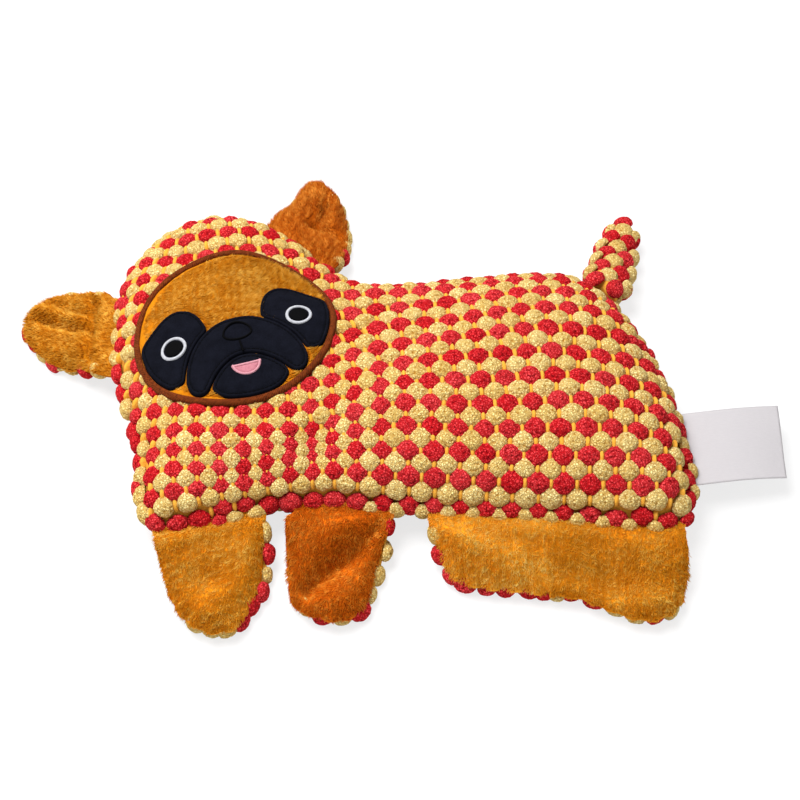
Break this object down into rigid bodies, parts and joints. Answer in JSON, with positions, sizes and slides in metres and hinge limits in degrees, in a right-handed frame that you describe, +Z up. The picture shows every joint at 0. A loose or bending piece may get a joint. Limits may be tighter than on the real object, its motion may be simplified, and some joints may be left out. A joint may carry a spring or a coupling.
{
  "type": "squeaky dog toy",
  "caption": "Soft plush toy shaped like a lying dog, with a bobble-fabric body, an appliqué face, floppy legs, ears and tail, and a squeaker in its stuffing.",
  "frame": {"origin": "middle of the toy's box in plan, on the surface it lies on", "axes": "+Z up out of the toy's front (its face looks up), +X from the head towards the tail, +Y from the legs towards the ears; left and right are as seen from the front"},
  "size_m": [0.3228, 0.2338, 0.043],
  "materials": {
    "bobble_fabric": "tufted chenille bobbles, red and pale yellow, on an orange-yellow ground",
    "caramel_plush": "short-pile caramel plush",
    "brown_satin_stitch": "dense brown satin stitch",
    "black_fleece": "black fleece with topstitching",
    "white_thread": "white satin stitch",
    "black_thread": "black embroidery",
    "pink_thread": "pink embroidery",
    "label_satin": "white satin ribbon",
    "polyester_wadding": "loose white fibre",
    "squeaker_plastic": "soft translucent plastic",
    "reed_film": "thin clear film"
  },
  "bodies": {
    "stuffed_body": {"body_front_panel": "bobble_fabric", "body_back_panel": "bobble_fabric", "stuffing_front": "polyester_wadding", "stuffing_back": "polyester_wadding", "face_patch": "caramel_plush", "face_border": "brown_satin_stitch", "muzzle": "black_fleece", "chin": "black_fleece", "eye_patch_left": "black_fleece", "eye_patch_right": "black_fleece", "eye_ring_left": "white_thread", "eye_ring_right": "white_thread", "pupil_left": "black_thread", "pupil_right": "black_thread", "nose": "black_thread", "tongue": "pink_thread", "squeaker_bulb": "squeaker_plastic"},
    "squeaker_whistle": {"squeaker_plug": "squeaker_plastic", "squeaker_reed": "reed_film"},
    "front_leg_left": {"front_leg_left_plush": "caramel_plush", "front_leg_left_bobble": "bobble_fabric"},
    "front_leg_right": {"front_leg_right_plush": "caramel_plush", "front_leg_right_bobble": "bobble_fabric"},
    "hind_leg_left": {"hind_leg_left_plush": "caramel_plush", "hind_leg_left_bobble": "bobble_fabric"},
    "hind_leg_right": {"hind_leg_right_plush": "caramel_plush", "hind_leg_right_bobble": "bobble_fabric"},
    "ear_left": {"ear_left_plush": "caramel_plush", "ear_left_bobble": "bobble_fabric"},
    "ear_right": {"ear_right_plush": "caramel_plush", "ear_right_bobble": "bobble_fabric"},
    "tail": {"tail_front": "bobble_fabric", "tail_back": "bobble_fabric"},
    "label": {"care_label": "label_satin"}
  },
  "joints": [
    {"name": "squeaker_squeeze", "type": "slide", "parent": "stuffed_body", "child": "squeaker_whistle", "axis": [0, 0, -1], "range_m": [0, 0.006], "stiffness_N_per_m": 300, "deforming": ["squeaker_bulb"]},
    {"name": "front_leg_left_flop", "type": "hinge", "parent": "stuffed_body", "child": "front_leg_left", "pos_m": [-0.06885, -0.0756, 0.014], "axis": [-0.9744, -0.2249, 0], "range_deg": [-60, 80]},
    {"name": "front_leg_right_flop", "type": "hinge", "parent": "stuffed_body", "child": "front_leg_right", "pos_m": [-0.01906, -0.06928, 0.014], "axis": [-0.9999, 0.0132, 0], "range_deg": [-60, 80]},
    {"name": "hind_leg_left_flop", "type": "hinge", "parent": "stuffed_body", "child": "hind_leg_left", "pos_m": [0.03717, -0.07422, 0.014], "axis": [-0.9982, 0.0598, 0], "range_deg": [-60, 80]},
    {"name": "hind_leg_right_flop", "type": "hinge", "parent": "stuffed_body", "child": "hind_leg_right", "pos_m": [0.08705, -0.07721, 0.014], "axis": [-0.9982, 0.0598, 0], "range_deg": [-60, 80]},
    {"name": "ear_left_flop", "type": "hinge", "parent": "stuffed_body", "child": "ear_left", "pos_m": [-0.11951, 0.01741, 0.014], "axis": [-0.0519, 0.9987, 0], "range_deg": [-60, 80]},
    {"name": "ear_right_flop", "type": "hinge", "parent": "stuffed_body", "child": "ear_right", "pos_m": [-0.03961, 0.06642, 0.014], "axis": [0.7624, -0.6471, 0], "range_deg": [-60, 80]},
    {"name": "tail_wag", "type": "hinge", "parent": "stuffed_body", "child": "tail", "pos_m": [0.0916, 0.03986, 0.014], "axis": [0.7221, -0.6918, 0], "range_deg": [-45, 60]},
    {"name": "label_flap", "type": "hinge", "parent": "stuffed_body", "child": "label", "pos_m": [0.12029, -0.03986, 0.014], "axis": [0.0694, -0.9976, 0], "range_deg": [-60, 80]}
  ]
}
